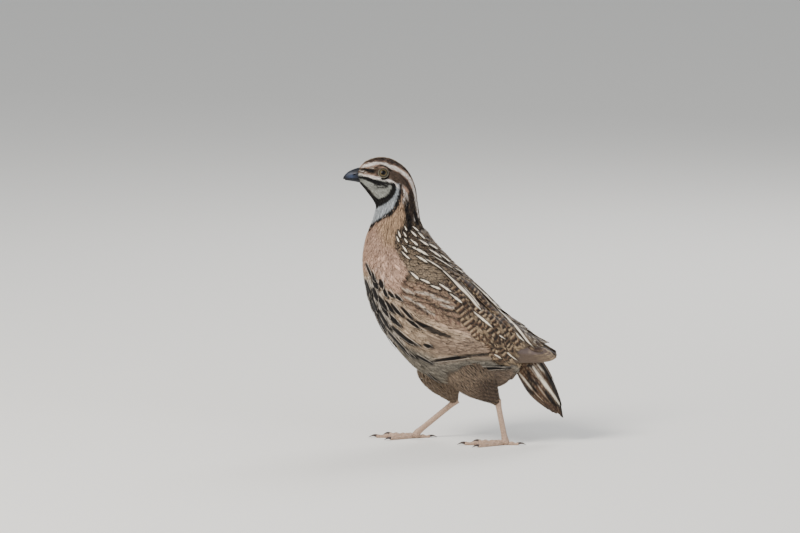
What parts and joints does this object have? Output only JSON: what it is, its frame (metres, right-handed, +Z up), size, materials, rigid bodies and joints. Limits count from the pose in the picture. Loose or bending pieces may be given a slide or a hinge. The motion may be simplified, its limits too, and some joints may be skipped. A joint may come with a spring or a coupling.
{
  "type": "standing quail figure",
  "caption": "Life-size still model of a wild coturnix quail in breeding plumage, standing alert in mid-step on bare feet.",
  "frame": {"origin": "centre of the bounding box's footprint, on the floor under the toes", "axes": "-X is where the bill points, -Y is the bird's left side, +Z is up and is the longest extent"},
  "size_m": [0.1064, 0.0552, 0.1376],
  "materials": {
    "buff": "soft body feathers",
    "face": "short face feathers",
    "brown": "wing feathers",
    "dark_brown": "tail feathers",
    "slate": "satin horn",
    "eye": "wet gloss",
    "leg": "scaled skin",
    "claw": "satin horn"
  },
  "bodies": {
    "root": {"head": "face", "neck": "buff", "torso": "buff", "thigh_left": "buff", "thigh_right": "buff", "wing_left": "brown", "wing_right": "brown", "tail": "dark_brown", "bill_upper": "slate", "bill_lower": "slate", "eye_left": "eye", "eye_right": "eye", "shank_left": "leg", "shank_right": "leg", "foot_left": "leg", "foot_right": "leg", "claw_left_middle": "claw", "claw_left_inner": "claw", "claw_left_outer": "claw", "claw_left_hind": "claw", "claw_right_middle": "claw", "claw_right_inner": "claw", "claw_right_outer": "claw", "claw_right_hind": "claw"}
  },
  "joints": []
}
